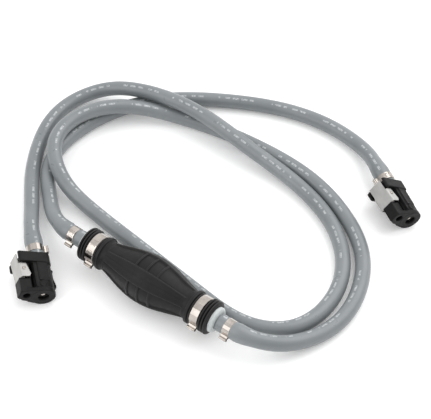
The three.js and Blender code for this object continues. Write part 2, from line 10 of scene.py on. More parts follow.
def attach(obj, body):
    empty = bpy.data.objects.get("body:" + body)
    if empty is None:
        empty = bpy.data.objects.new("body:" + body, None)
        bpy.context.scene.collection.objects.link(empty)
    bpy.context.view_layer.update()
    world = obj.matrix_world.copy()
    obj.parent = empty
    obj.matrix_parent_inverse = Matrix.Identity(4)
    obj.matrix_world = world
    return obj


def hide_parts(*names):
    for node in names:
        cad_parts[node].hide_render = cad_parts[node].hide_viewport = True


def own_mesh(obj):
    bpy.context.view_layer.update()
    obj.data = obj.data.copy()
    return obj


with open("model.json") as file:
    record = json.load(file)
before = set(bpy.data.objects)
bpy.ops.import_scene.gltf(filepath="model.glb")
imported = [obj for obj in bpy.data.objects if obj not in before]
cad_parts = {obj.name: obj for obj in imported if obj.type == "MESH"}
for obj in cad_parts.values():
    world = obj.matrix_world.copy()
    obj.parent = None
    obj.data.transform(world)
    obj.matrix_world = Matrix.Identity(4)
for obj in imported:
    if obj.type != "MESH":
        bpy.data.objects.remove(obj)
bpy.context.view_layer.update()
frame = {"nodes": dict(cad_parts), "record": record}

MM = 0.001

# ---------------------------------------------------------------- driving sizes, as in the CAD model
FIT = 0.3                     # millimetres, like every size down to the layout
HOSE_R = 8.0
HOSE_BORE_R = 4.75
HOUSING_LENGTH = 46.0
BULB_HALF = 50.0
BULB_R = 25.5
CUFF_R = 15.3
CUFF_LENGTH = 29.0
BULB_SWELL = 1.25
VALVE_FLANGE = {"inlet": 1.4, "outlet": 4.9}
CUFF_CLAMP_AT = 14.5
HOSE_CLAMP_WIDTH = 8.0
BULB_CLAMP_WIDTH = 9.0
CLAMP_FROM_END = {"inlet": 10.5, "outlet": 8.5, "connector": 6.0}
STRIP_THICK = 0.7             # of a clamp
EAR_RISE = 4.6
WIRE_R = 0.4                  # of every spring

CUFF_END = BULB_HALF + CUFF_LENGTH
FLANGE_START = CUFF_END + FIT
FLANGE_END = {end: FLANGE_START + wide for end, wide in VALVE_FLANGE.items()}
HOSE_START = {end: at + FIT for end, at in FLANGE_END.items()}

# ---------------------------------------------------------------- layout, in metres and degrees
TABLE_CENTRE = Vector((0.00247, 0.00265, 0))


def placed(at, heading, lift=0.0, roll=0.0):
    """Matrix of a piece's own frame in the row frame."""
    turn = (
        Matrix.Rotation(radians(heading), 4, "Z")
        @ Matrix.Rotation(radians(lift), 4, "X")
        @ Matrix.Rotation(radians(roll), 4, "Y")
    )
    return Matrix.Translation(Vector(at) + TABLE_CENTRE) @ turn


PLACES = {
    "bulb": placed((-0.0709, -0.0403, 0.0255), -126.05),
    "left": placed((-0.1752, -0.0514, 0.01235), 13.4, 4, 25.2),
    "right": placed((0.1954, 0.0462, 0.01235), 22.4, 4, 35.7),
}
EAR_ANGLES = {"left": 75.0, "right": -120.0, "inlet": -112.0, "outlet": 112.0}
CONNECTOR_LEAD = (0.0, 0.016, 0.030)
BULB_LEAD = (0.0, 0.009, 0.018)

# Hose centrelines between their straight leads, the same points as in the CAD model.
LONG_ROUTE = [
    (-0.1975, 0.06, 0.0135), (-0.202, 0.108, 0.0096), (-0.199, 0.158, 0.0084),
    (-0.184, 0.203, 0.0084), (-0.16, 0.2275, 0.0098), (-0.126, 0.236, 0.016),
    (-0.092, 0.2265, 0.0234), (-0.042, 0.201, 0.0264), (-0.005, 0.1735, 0.024),
    (0.031, 0.142, 0.0183), (0.07, 0.109, 0.011), (0.117, 0.037, 0.0082), (0.116, -0.037, 0.0082),
    (0.066, -0.0855, 0.0082), (0.031, -0.083, 0.0082), (-0.02, -0.0465, 0.0082),
    (-0.099, 0.0285, 0.0082), (-0.138, 0.066, 0.009), (-0.163, 0.093, 0.0145),
    (-0.1765, 0.12, 0.022), (-0.1785, 0.149, 0.0249), (-0.164, 0.177, 0.0251),
    (-0.136, 0.195, 0.0251), (-0.1, 0.203, 0.0206), (-0.058, 0.2005, 0.0114),
    (-0.014, 0.185, 0.0082), (0.044, 0.151, 0.0082), (0.1, 0.102, 0.0082), (0.13, 0.053, 0.0082),
    (0.143, 0.002, 0.0082), (0.137, -0.038, 0.0082), (0.115, -0.077, 0.0082), (0.08, -0.102, 0.012),
    (0.045, -0.111, 0.021),
]
SHORT_ROUTE = [
    (-0.166, 0.0345, 0.023), (-0.174, 0.052, 0.018), (-0.181, 0.082, 0.01),
    (-0.1855, 0.112, 0.0082), (-0.18, 0.145, 0.0082), (-0.1555, 0.1805, 0.0082),
    (-0.117, 0.209, 0.0082), (-0.072, 0.225, 0.0082), (-0.024, 0.2275, 0.0082),
    (0.022, 0.2225, 0.0082), (0.067, 0.212, 0.0082), (0.108, 0.1935, 0.0082),
    (0.138, 0.1695, 0.0089), (0.158, 0.142, 0.012),
]


# ---------------------------------------------------------------- camera
CAMERA_AT = (-0.00353, -0.76997, 1.00586)
CAMERA_TILT = 40              # degrees up from straight down
CAMERA_LENS = 103.9


def add_camera():
    data = bpy.data.cameras.new("camera")
    data.sensor_width = 36
    data.lens = CAMERA_LENS
    camera = bpy.data.objects.new("camera", data)
    camera.location = CAMERA_AT
    camera.rotation_euler = (radians(CAMERA_TILT), 0, 0)
    bpy.context.scene.collection.objects.link(camera)
    bpy.context.scene.camera = camera


add_camera()


# ---------------------------------------------------------------- node helpers
class Paint:
    """A new material and short ways to add nodes to it."""

    def __init__(self, name):
        self.material = bpy.data.materials.new(name)
        self.material.use_nodes = True
        self.tree = self.material.node_tree
        self.shader = self.tree.nodes["Principled BSDF"]
        self.place = self.add("ShaderNodeTexCoord").outputs["Object"]

    def add(self, kind, **settings):
        node = self.tree.nodes.new(kind)
        for key, value in settings.items():
            setattr(node, key, value)
        return node

    def put(self, value, socket):
        if isinstance(value, bpy.types.NodeSocket):
            self.tree.links.new(value, socket)
        elif hasattr(socket.default_value, "__len__") and not hasattr(value, "__len__"):
            socket.default_value = (value,) * len(socket.default_value)
        else:
            socket.default_value = value

    def set(self, **values):
        for key, value in values.items():
            self.put(value, self.shader.inputs[key.replace("_", " ")])

    def noise(self, scale, detail=4.0, stretch=(1, 1, 1), roughness=0.5, place=None):
        mapping = self.add("ShaderNodeMapping")
        self.put(place or self.place, mapping.inputs["Vector"])
        mapping.inputs["Scale"].default_value = stretch
        node = self.add("ShaderNodeTexNoise")
        self.put(mapping.outputs["Vector"], node.inputs["Vector"])
        node.inputs["Scale"].default_value = scale
        node.inputs["Detail"].default_value = detail
        node.inputs["Roughness"].default_value = roughness
        return node.outputs["Fac"]

    def ramp(self, value, low, high, out_low=0.0, out_high=1.0):
        node = self.add("ShaderNodeMapRange", clamp=True)
        self.put(value, node.inputs["Value"])
        for socket, number in zip(("From Min", "From Max", "To Min", "To Max"),
                                  (low, high, out_low, out_high)):
            node.inputs[socket].default_value = number
        return node.outputs["Result"]

    def math(self, operation, first, second=0.0):
        node = self.add("ShaderNodeMath", operation=operation)
        self.put(first, node.inputs[0])
        self.put(second, node.inputs[1])
        return node.outputs["Value"]

    def mix(self, factor, first, second):
        node = self.add("ShaderNodeMix", data_type="RGBA")
        self.put(factor, node.inputs["Factor"])
        self.put((*first, 1) if isinstance(first, tuple) else first, node.inputs["A"])
        self.put((*second, 1) if isinstance(second, tuple) else second, node.inputs["B"])
        return node.outputs["Result"]

    def bump(self, height, distance, strength=1.0, under=None):
        node = self.add("ShaderNodeBump")
        self.put(height, node.inputs["Height"])
        node.inputs["Distance"].default_value = distance
        node.inputs["Strength"].default_value = strength
        if under is not None:
            self.put(under, node.inputs["Normal"])
        return node.outputs["Normal"]

    def edges(self, low, high):
        """1 on convex edges, 0 elsewhere: wear on the housing's edges, a painted highlight on the
        rubber's ribs and beads.
        """
        pointiness = self.add("ShaderNodeNewGeometry").outputs["Pointiness"]
        return self.ramp(pointiness, low, high)


# ---------------------------------------------------------------- materials
DASH_PERIOD = 0.0098          # metres
DASH_HALF_WIDTH = 0.0011


def hose_material():
    paint = Paint("hose_grey")
    uv = paint.add("ShaderNodeUVMap", uv_map="run").outputs["UV"]
    split = paint.add("ShaderNodeSeparateXYZ")
    paint.put(uv, split.inputs["Vector"])
    along, around = split.outputs["X"], split.outputs["Y"]

    def teeth(period, filled, shift=0.0):
        """1 for the filled share of each period along the hose."""
        moved = paint.math("ADD", along, shift)
        share = paint.math("FRACT", paint.math("DIVIDE", moved, period))
        return paint.math("LESS_THAN", share, filled)

    # one row of plain dashes, broken into runs of different lengths
    row = paint.math("LESS_THAN", paint.math("ABSOLUTE", around), DASH_HALF_WIDTH)
    dashes = paint.math("MULTIPLY", teeth(DASH_PERIOD, 0.70), row)
    runs = paint.math("MULTIPLY", teeth(0.061, 0.72), teeth(0.0385, 0.84, 0.011))
    print_mask = paint.math("MULTIPLY", dashes, runs)
    worn = paint.ramp(paint.noise(700, 3), 0.34, 0.62)
    print_mask = paint.math("MULTIPLY", print_mask, worn)

    cloud = paint.noise(28, 3)
    grey = paint.mix(paint.ramp(cloud, 0.3, 0.7), (0.168, 0.184, 0.193), (0.198, 0.215, 0.224))
    dust = paint.ramp(paint.noise(420, 5, roughness=0.7), 0.60, 0.78, 0.0, 0.30)
    grey = paint.mix(dust, grey, (0.29, 0.305, 0.315))
    colour = paint.mix(paint.math("MULTIPLY", print_mask, 0.55), grey, (0.70, 0.72, 0.73))
    draw = paint.noise(1.0, 3, (60, 5200, 1), place=uv)
    peel = paint.noise(650, 2)
    normal = paint.bump(draw, 0.00006, 0.5)
    normal = paint.bump(peel, 0.00010, 0.35, normal)
    rough = paint.ramp(paint.noise(90, 4), 0.3, 0.7, 0.27, 0.38)
    paint.set(Base_Color=colour, Roughness=rough, Normal=normal, IOR=1.54)
    return paint.material


def rubber_material(name, dark, light, grain, rough_low, rough_high):
    paint = Paint(name)
    bloom = paint.ramp(paint.noise(60, 5, roughness=0.62), 0.42, 0.72)
    scuffs = paint.ramp(paint.noise(260, 6, (1, 1, 1), 0.75), 0.60, 0.76, 0.0, 0.4)
    # painted highlight: the convex edges of ribs, beads and rims are painted lighter, standing in for
    # the light they catch
    edge = paint.edges(0.51, 0.60)
    colour = paint.mix(bloom, dark, light)
    colour = paint.mix(scuffs, colour, tuple(1.7 * c for c in light))
    # mix in the painted edge highlight
    colour = paint.mix(paint.math("MULTIPLY", edge, 0.6), colour, (0.060, 0.058, 0.058))
    normal = paint.bump(paint.noise(grain, 3), 0.00012, 0.4)
    normal = paint.bump(paint.noise(130, 3), 0.0004, 0.12, normal)
    rough = paint.ramp(paint.noise(240, 4), 0.3, 0.7, rough_low, rough_high)
    paint.set(Base_Color=colour, Roughness=rough, Normal=normal, IOR=1.5)
    paint.shader.inputs["Specular IOR Level"].default_value = 0.24
    return paint.material


def plastic_material(name, dark, light):
    paint = Paint(name)
    cloud = paint.ramp(paint.noise(45, 4), 0.35, 0.7)
    colour = paint.mix(cloud, dark, light)
    edge = paint.edges(0.52, 0.62)
    scuffs = paint.ramp(paint.noise(500, 5, (1, 0.25, 1), 0.7), 0.58, 0.74, 0.0, 0.5)
    colour = paint.mix(scuffs, colour, tuple(1.8 * c for c in light))
    colour = paint.mix(paint.math("MULTIPLY", edge, 0.6), colour, tuple(2.8 * c for c in light))
    normal = paint.bump(paint.noise(2600, 2), 0.00005, 0.5)
    rough = paint.ramp(paint.noise(150, 4), 0.3, 0.7, 0.44, 0.58)
    paint.set(Base_Color=colour, Roughness=rough, Normal=normal, IOR=1.5)
    paint.shader.inputs["Specular IOR Level"].default_value = 0.15
    return paint.material


def metal_material(name, dark, light, stretch, rough_low, rough_high):
    paint = Paint(name)
    brushed = paint.noise(700, 4, stretch, 0.6)
    stain = paint.ramp(paint.noise(70, 4), 0.3, 0.75)
    colour = paint.mix(stain, dark, light)
    normal = paint.bump(brushed, 0.00003, 0.35)
    rough = paint.ramp(brushed, 0.3, 0.7, rough_low, rough_high)
    paint.set(Base_Color=colour, Roughness=rough, Normal=normal)
    paint.shader.inputs["Metallic"].default_value = 1.0
    return paint.material


def valve_material():
    paint = Paint("valve_white")
    cloud = paint.ramp(paint.noise(120, 3), 0.3, 0.7)
    colour = paint.mix(cloud, (0.46, 0.49, 0.49), (0.53, 0.56, 0.56))
    normal = paint.bump(paint.noise(900, 3), 0.00005, 0.3)
    rough = paint.ramp(paint.noise(200, 3), 0.3, 0.7, 0.30, 0.42)
    paint.set(Base_Color=colour, Roughness=rough, Normal=normal, IOR=1.48)
    paint.shader.inputs["Subsurface Weight"].default_value = 0.35
    paint.shader.inputs["Subsurface Radius"].default_value = (0.004, 0.004, 0.004)
    paint.shader.inputs["Subsurface Scale"].default_value = 0.5
    return paint.material


LOOKS = {
    "hose": hose_material(),
    "bulb": rubber_material("bulb_rubber", (0.0062, 0.0059, 0.0060), (0.0115, 0.0109, 0.0111),
                            1500, 0.42, 0.58),
    "housing": plastic_material("housing_nylon", (0.0066, 0.0063, 0.0062), (0.0108, 0.0103, 0.0101)),
    "steel": metal_material("clamp_steel", (0.33, 0.298, 0.270), (0.56, 0.52, 0.485),
                            (1, 0.06, 1), 0.10, 0.20),
    "latch": metal_material("latch_steel", (0.47, 0.463, 0.452), (0.56, 0.552, 0.538),
                            (1, 0.08, 1), 0.60, 0.74),
    "brass": metal_material("turned_brass", (0.52, 0.35, 0.13), (0.62, 0.43, 0.18),
                            (0.1, 1, 0.1), 0.22, 0.34),
    "seal": rubber_material("seal_rubber", (0.006, 0.006, 0.006), (0.012, 0.012, 0.012),
                            2200, 0.45, 0.6),
    "valve": valve_material(),
}


# ---------------------------------------------------------------- mesh helpers, in millimetres
def rounded(corners, radius, steps=4):
    """Closed outline with each corner replaced by an arc; a corner may carry its own radius."""
    count = len(corners)
    outline = []
    for i, corner in enumerate(corners):
        here = Vector(corner[:2])
        before = Vector(corners[i - 1][:2]) - here
        after = Vector(corners[(i + 1) % count][:2]) - here
        r = corner[2] if len(corner) > 2 else radius
        if r <= 0:
            outline.append(tuple(here))
            continue
        half = before.angle(after) / 2
        reach = min(r / np.tan(half), 0.48 * before.length, 0.48 * after.length)
        start = here + before.normalized() * reach
        end = here + after.normalized() * reach
        for k in range(steps + 1):
            t = k / steps
            outline.append(tuple(start * (1 - t) ** 2 + here * 2 * t * (1 - t) + end * t * t))
    return outline


def prism(outline, low, high):
    """Closed solid from an outline in X and Z, run along Y."""
    count = len(outline)
    points = [(x, low, z) for x, z in outline] + [(x, high, z) for x, z in outline]
    faces = [[i, (i + 1) % count, count + (i + 1) % count, count + i] for i in range(count)]
    faces += [list(range(count))[::-1], list(range(count, 2 * count))]
    return np.array(points, float), faces


def plate(outline, low, high):
    """Closed solid from an outline in X and Y, run along Z."""
    points, faces = prism(outline, low, high)
    return points[:, [0, 2, 1]], [face[::-1] for face in faces]


def block(low, high):
    corners = [(low[0], low[2]), (high[0], low[2]), (high[0], high[2]), (low[0], high[2])]
    return prism(corners, low[1], high[1])


def circle(radius, sides, centre=(0, 0)):
    turns = [2 * pi * i / sides for i in range(sides)]
    return [(centre[0] + radius * cos(a), centre[1] + radius * sin(a)) for a in turns]


def rod(radius, low, high, sides=64):
    return prism(circle(radius, sides), low, high)


def lathe(profile, sides=64):
    """Closed body of revolution about Y from [radius, y] points that close on themselves."""
    count = len(profile)
    points, faces = [], []
    for i in range(sides):
        a = 2 * pi * i / sides
        points += [(r * cos(a), y, r * sin(a)) for r, y in profile]
    for i in range(sides):
        j = (i + 1) % sides
        for k in range(count):
            n = (k + 1) % count
            faces.append([i * count + k, i * count + n, j * count + n, j * count + k])
    return np.array(points, float), faces


def sweep(path, normals, section, closed=False):
    """A section of (out, across) points carried along a path; normals point outwards at each point."""
    path = np.array(path, float)
    count, ring = len(path), len(section)
    ahead = np.roll(path, -1, 0) - np.roll(path, 1, 0)
    if not closed:
        ahead[0], ahead[-1] = path[1] - path[0], path[-1] - path[-2]
    ahead /= np.linalg.norm(ahead, axis=1)[:, None]
    out = np.array(normals, float)
    out -= ahead * (out * ahead).sum(1)[:, None]
    out /= np.linalg.norm(out, axis=1)[:, None]
    across = np.cross(ahead, out)
    points = np.concatenate([
        path[i] + np.outer([s[0] for s in section], out[i])
        + np.outer([s[1] for s in section], across[i])
        for i in range(count)
    ])
    faces = []
    for i in range(count if closed else count - 1):
        j = (i + 1) % count
        for k in range(ring):
            n = (k + 1) % ring
            faces.append([i * ring + k, j * ring + k, j * ring + n, i * ring + n])
    if not closed:
        faces.append(list(range(ring)))
        faces.append([(count - 1) * ring + k for k in range(ring)][::-1])
    return points, faces


def turned_about(shape, axis, degrees, centre=(0, 0, 0)):
    """The same solid turned about an axis through a point."""
    points, faces = shape
    centre = np.array(centre, float)
    matrix = np.array(Matrix.Rotation(radians(degrees), 3, axis))
    return (points - centre) @ matrix.T + centre, faces


def moved(shape, by):
    return shape[0] + np.array(by, float), shape[1]


def merged(shapes):
    points, faces, base = [], [], 0
    for these, those in shapes:
        points.append(these)
        faces += [[base + i for i in face] for face in those]
        base += len(these)
    return np.concatenate(points), faces


def new_mesh(name, shape):
    """A mesh in metres from a shape in millimetres, with every shell's faces turned outwards."""
    points, faces = shape
    mesh = bpy.data.meshes.new(name)
    mesh.from_pydata((points * MM).tolist(), [], faces)
    work = bmesh.new()
    work.from_mesh(mesh)
    bmesh.ops.recalc_face_normals(work, faces=work.faces)
    work.to_mesh(mesh)
    work.free()
    return mesh


def add_piece(name, mesh, place, body, slot, replaces=(), sharp=35):
    """Links a finished mesh as a piece of the object."""
    mesh.name = name
    mesh.materials.clear()
    mesh.materials.append(LOOKS[slot])
    mesh.shade_smooth()
    if sharp:
        mesh.set_sharp_from_angle(angle=radians(sharp))
    piece = bpy.data.objects.new(name, mesh)
    bpy.context.scene.collection.objects.link(piece)
    piece.matrix_world = place
    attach(piece, body)
    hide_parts(*replaces)
    return piece


def finished(mesh, setups):
    """The mesh after a list of modifiers, each a (kind, settings) pair."""
    holder = bpy.data.objects.new("holder", mesh)
    bpy.context.scene.collection.objects.link(holder)
    for kind, settings in setups:
        modifier = holder.modifiers.new(kind, kind)
        for key, value in settings.items():
            setattr(modifier, key, value)
    bpy.context.view_layer.update()
    shown = holder.evaluated_get(bpy.context.evaluated_depsgraph_get())
    result = bpy.data.meshes.new_from_object(shown)
    bpy.data.objects.remove(holder)
    return result


def bevelled(shape, width=0.25, segments=2, angle=40):
    settings = {
        "width": width * MM, "segments": segments, "limit_method": "ANGLE",
        "angle_limit": radians(angle), "use_clamp_overlap": True,
    }
    return finished(new_mesh("bevelled", shape), [("BEVEL", settings)])


def moulded(solids, cuts, voxel=0.33, smoothing=5):
    """One moulding: shells joined, cut, and given the small soft edges of a moulded part."""
    cutter = bpy.data.objects.new("cutter", new_mesh("cutter", merged(cuts)))
    bpy.context.scene.collection.objects.link(cutter)
    joined = finished(new_mesh("moulding", merged(solids)), [
        ("REMESH", {"mode": "VOXEL", "voxel_size": voxel * MM, "use_smooth_shade": True}),
    ])
    result = finished(joined, [
        ("BOOLEAN", {"operation": "DIFFERENCE", "object": cutter, "solver": "EXACT",
                     "use_self": True}),
        ("REMESH", {"mode": "VOXEL", "voxel_size": voxel * MM, "use_smooth_shade": True}),
        ("SMOOTH", {"factor": 0.5, "iterations": smoothing}),
    ])
    bpy.data.objects.remove(cutter)
    return result


# ---------------------------------------------------------------- hoses
def natural_spline(points, spacing=0.003):
    """Points along the natural cubic spline that the CAD model's hoses follow."""
    points = np.array(points, float)
    count = len(points)
    knots = np.concatenate([[0], np.cumsum(np.linalg.norm(np.diff(points, axis=0), axis=1))])
    gaps = np.diff(knots)
    system = np.eye(count)
    right = np.zeros((count, 3))
    for i in range(1, count - 1):
        system[i, i - 1:i + 2] = gaps[i - 1], 2 * (gaps[i - 1] + gaps[i]), gaps[i]
        right[i] = 6 * ((points[i + 1] - points[i]) / gaps[i]
                        - (points[i] - points[i - 1]) / gaps[i - 1])
    bends = np.linalg.solve(system, right)
    at = np.linspace(0, knots[-1], int(knots[-1] / spacing) + 1)
    i = np.clip(np.searchsorted(knots, at, side="right") - 1, 0, count - 2)
    gap = gaps[i][:, None]
    b = (at - knots[i])[:, None] / gap
    a = 1 - b
    return (a * points[i] + b * points[i + 1]
            + ((a ** 3 - a) * bends[i] + (b ** 3 - b) * bends[i + 1]) * gap ** 2 / 6)


def lead(place, start, runs, way=1):
    """Points of a straight lead along the place's own Y."""
    return [tuple(place @ Vector((0, way * (start * MM + run), 0))) for run in runs]


def flare(from_end, clamp_from_end):
    """Outer radius of the hose where a barb fills it, by millimetres from its cut end."""
    clamp_end = clamp_from_end + HOSE_CLAMP_WIDTH
    knots = [(0, 8.6), (0.8, 9.1), (clamp_from_end - 2.0, 9.3), (clamp_from_end, 8.25),
             (clamp_end, 8.25), (clamp_end + 2.5, 9.75), (clamp_end + 8, 9.45),
             (clamp_end + 22, HOSE_R)]
    at, radii = zip(*knots)
    return np.interp(from_end, at, radii)


def add_hose(name, node, route, first_clamp, last_clamp, twist):
    """A hollow hose along a route, with its print line `twist` degrees round from the top."""
    path = natural_spline(route) / MM
    steps = np.linalg.norm(np.diff(path, axis=0), axis=1)
    run = np.concatenate([[0], np.cumsum(steps)])
    whole = run[-1]
    radius = np.where(run < whole / 2, flare(run, first_clamp), flare(whole - run, last_clamp))
    radius[1:-1] = np.convolve(radius, np.ones(3) / 3, "same")[1:-1]
    ahead = np.gradient(path, axis=0)
    ahead /= np.linalg.norm(ahead, axis=1)[:, None]
    up = np.tile([0.0, 0.0, 1.0], (len(path), 1))
    up -= ahead * (up * ahead).sum(1)[:, None]
    up /= np.linalg.norm(up, axis=1)[:, None]
    side = np.cross(ahead, up)
    sides = 40
    turns = np.array([2 * pi * i / sides for i in range(sides)])

    def ring(i, r):
        return path[i] + r * (np.outer(np.cos(turns), up[i]) + np.outer(np.sin(turns), side[i]))

    # an outer skin, the cut end, the bore back again and the first cut end
    rings = [ring(i, radius[i]) for i in range(len(path))]
    bores = [ring(i, HOSE_BORE_R) for i in range(len(path))]
    order = rings + bores[::-1]
    stations = list(run) + list(run[::-1])
    count = len(order)
    points = np.concatenate(order)
    faces, marks = [], []
    for i in range(count):
        j = (i + 1) % count
        for k in range(sides):
            n = (k + 1) % sides
            faces.append([i * sides + k, j * sides + k, j * sides + n, i * sides + n])
            marks.append((i, j, k))
    mesh = bpy.data.meshes.new(name)
    mesh.from_pydata((points * MM).tolist(), [], faces)
    layer = mesh.uv_layers.new(name="run")
    flat = []
    for i, j, k in marks:
        low = (360 * k / sides - twist + 180) % 360 - 180
        for station, angle in ((i, low), (j, low), (j, low + 360 / sides), (i, low + 360 / sides)):
            flat += [stations[station] * MM, radians(angle) * HOSE_R * MM]
    layer.data.foreach_set("uv", flat)
    piece = add_piece(name, mesh, Matrix.Identity(4), "root", "hose", [node], 50)


PRINT_TWIST = 20
long_points = (
    lead(PLACES["left"], HOUSING_LENGTH + FIT, CONNECTOR_LEAD)
    + [tuple(Vector(p) + TABLE_CENTRE) for p in LONG_ROUTE]
    + lead(PLACES["bulb"], HOSE_START["outlet"], BULB_LEAD)[::-1]
)
short_points = (
    lead(PLACES["bulb"], HOSE_START["inlet"], BULB_LEAD, -1)
    + [tuple(Vector(p) + TABLE_CENTRE) for p in SHORT_ROUTE]
    + lead(PLACES["right"], HOUSING_LENGTH + FIT, CONNECTOR_LEAD)[::-1]
)
add_hose("long_hose", "hose_long", long_points, CLAMP_FROM_END["connector"],
         CLAMP_FROM_END["outlet"], PRINT_TWIST)
add_hose("short_hose", "hose_short", short_points, CLAMP_FROM_END["inlet"],
         CLAMP_FROM_END["connector"], PRINT_TWIST)


# ---------------------------------------------------------------- primer bulb
RIB_AT = (-10.5, 2.5, 15.5)
BAND_CENTRE = 36.5            # degrees from the top towards the bulb's +X
BAND_HALF = 19.5
PANELS = 4
PANEL_DEPTH = 1.7
PANEL_END = 48.0              # along the bulb from its middle, like the sizes below
PANEL_STEP = 0.7
RIB_HALF = 1.2
RIB_SHARE = 0.85              # of the panel's depth
BEAD_RISE = 0.35
VALLEY_DEPTH = 0.45
LINES_END = 49.0              # where beads and valleys fade out
COLLAR = (53.6, 57.2, 2.3)    # from, to and rise
RING = (57.8, 59.6, 1.3)
RIDGES_AT = (71.4, 74.4, 77.4)
RIDGE_RISE = 2.1
BULB_WALL = 3.5
CUFF_BORE_R = 11.3


def step_up(x, centre, width):
    """0 below the centre, 1 above it, with a smooth change `width` wide."""
    t = np.clip((x - centre) / width + 0.5, 0, 1)
    return t * t * (3 - 2 * t)


def add_bulb():
    s = np.arange(-CUFF_END, CUFF_END + 0.01, 0.5)
    sides = 320
    theta = np.arange(sides) * 360 / sides
    a, t = np.meshgrid(s, theta, indexing="ij")
    swell = np.cos(pi / 2 * np.clip(a / BULB_HALF, -1, 1))
    base = CUFF_R + (BULB_R - CUFF_R) * np.maximum(swell, 0) ** BULB_SWELL
    # panels sunk between the bands, crossed by low ribs
    pitch = 360 / PANELS
    round_band = np.abs((t - BAND_CENTRE + pitch / 2) % pitch - pitch / 2)
    arc = radians(1) * base
    off_band = (round_band - BAND_HALF) * arc            # millimetres past the band's edge
    panel = step_up(off_band, 0.5, PANEL_STEP) * step_up(PANEL_END - np.abs(a - 1.0), 0.0, 2.0)
    for rib in RIB_AT:
        panel *= 1 - (1 - step_up(np.abs(a - rib), RIB_HALF, PANEL_STEP)) * RIB_SHARE
    depth = PANEL_DEPTH * np.clip((base - CUFF_R) / 5 + 0.4, 0, 1)
    radius = base - panel * depth
    # a bead along the rim of each band, and a shallow valley along its middle
    side = np.abs(a)
    fade = step_up(LINES_END - side, 0, 4.0)
    radius += BEAD_RISE * np.exp(-((off_band + 0.6) / 0.7) ** 2) * fade
    radius -= VALLEY_DEPTH * np.exp(-((round_band * arc) / 0.9) ** 2) * fade
    # collars and grooves of the cuffs
    start, stop, rise = COLLAR
    radius += rise * step_up(side, start, 1.0) * (1 - step_up(side, stop, 0.8))
    start, stop, rise = RING
    radius += rise * step_up(side, start, 0.6) * (1 - step_up(side, stop, 0.6))
    for at in RIDGES_AT:
        radius += RIDGE_RISE * np.exp(-(side - at) ** 4)
    radius += 0.4 * step_up(side, 70.0, 0.6)
    radius[0] -= 0.5
    radius[-1] -= 0.5
    angle = np.radians(t)
    outer = np.stack([radius * np.sin(angle), a, radius * np.cos(angle)], -1)
    wall = np.clip(radius - BULB_WALL, CUFF_BORE_R, None)
    inner = np.stack([wall * np.sin(angle), a, wall * np.cos(angle)], -1)[::-1]
    order = np.concatenate([outer, inner])
    count = len(order)
    points = order.reshape(-1, 3)
    faces = []
    for i in range(count):
        j = (i + 1) % count
        for k in range(sides):
            n = (k + 1) % sides
            faces.append([i * sides + k, i * sides + n, j * sides + n, j * sides + k])
    mesh = new_mesh("bulb_moulding", (points, faces))
    add_piece("bulb_moulding", mesh, PLACES["bulb"], "root", "bulb", ["primer_bulb"], 60)


add_bulb()


def end_place(end):
    """The bulb's frame with +Y towards the given end."""
    return PLACES["bulb"] @ (Matrix.Rotation(pi, 4, "Z") if end == "inlet" else Matrix.Identity(4))


SEAT_AT = FLANGE_START - 14
PLUG_END = FLANGE_START - 26
PLUG_R = 11.0
CHAMBER_R = 7.5
BARB_BORE_R = 2.6
BARB_NECK_R = 3.7
BARB_R = 4.2
BARB_RIDGES = 3
BARB_LENGTH = 17.5
COLLAR_R = 13.5


def add_valve_body(end):
    flange = FLANGE_END[end]
    profile = [(BARB_BORE_R, SEAT_AT), (CHAMBER_R, SEAT_AT), (CHAMBER_R, PLUG_END),
               (PLUG_R, PLUG_END), (PLUG_R, FLANGE_START)]
    if end == "outlet":
        # the visible white collar is domed down to the hose
        profile += [(COLLAR_R - 0.6, FLANGE_START), (COLLAR_R, FLANGE_START + 0.5),
                    (COLLAR_R, flange - 2.6), (COLLAR_R - 0.3, flange - 1.7),
                    (COLLAR_R - 1.2, flange - 0.8), (COLLAR_R - 2.6, flange - 0.25),
                    (COLLAR_R - 4.3, flange), (BARB_NECK_R, flange)]
    else:
        profile += [(COLLAR_R - 0.3, FLANGE_START), (COLLAR_R, FLANGE_START + 0.4),
                    (COLLAR_R, flange - 0.4), (COLLAR_R - 0.3, flange), (BARB_NECK_R, flange)]
    pitch = (BARB_LENGTH - 2) / BARB_RIDGES
    for i in range(BARB_RIDGES):
        start = flange + 1.5 + i * pitch
        profile += [(BARB_NECK_R, start), (BARB_R, start + 0.4), (BARB_NECK_R, start + pitch - 0.2)]
    profile.append((BARB_BORE_R, flange + BARB_LENGTH))
    mesh = new_mesh("valve", lathe(profile, 72))
    name = f"{end}_valve_moulding"
    add_piece(name, mesh, end_place(end), "root", "valve", [f"{end}_valve_body"], 35)


for end in ("inlet", "outlet"):
    add_valve_body(end)


# ---------------------------------------------------------------- one-ear clamps
BAND_FACETS = 15
LAP_START, LAP_ANGLE = 24, 118            # degrees round from the ear
TONGUES_AT = (62, 84, 106)


def clamp_path(inner, thick, ear_angle):
    """Middle line of the band and its ear, as points in X and Z with outward normals."""
    middle = inner + thick / 2
    foot, waist, head = 1.75, 1.2, 2.35       # half widths of the ear
    start = atan2(middle, foot + 1.2)
    whole = -(pi + 2 * start)
    arc = []
    for i in range(BAND_FACETS + 1):
        # flat facets with small rounded corners between them
        a = start + whole * i / BAND_FACETS
        corner = middle * (1 if i in (0, BAND_FACETS) else 1 / cos(whole / BAND_FACETS / 2))
        arc.append((corner * cos(a), corner * sin(a), 0.6))
    ear = [(-foot, middle - 0.1, 0.9), (-waist, middle + EAR_RISE * 0.5, 1.6),
           (-head, middle + EAR_RISE, 1.1), (head, middle + EAR_RISE, 1.1),
           (waist, middle + EAR_RISE * 0.5, 1.6), (foot, middle - 0.1, 0.9)]
    points = np.array(rounded(arc + ear, 0, 5), float)
    ahead = np.roll(points, -1, 0) - np.roll(points, 1, 0)
    out = np.stack([-ahead[:, 1], ahead[:, 0]], 1)
    turn = radians(ear_angle)
    rotation = np.array([[cos(turn), sin(turn)], [-sin(turn), cos(turn)]])
    return points @ rotation.T, out @ rotation.T


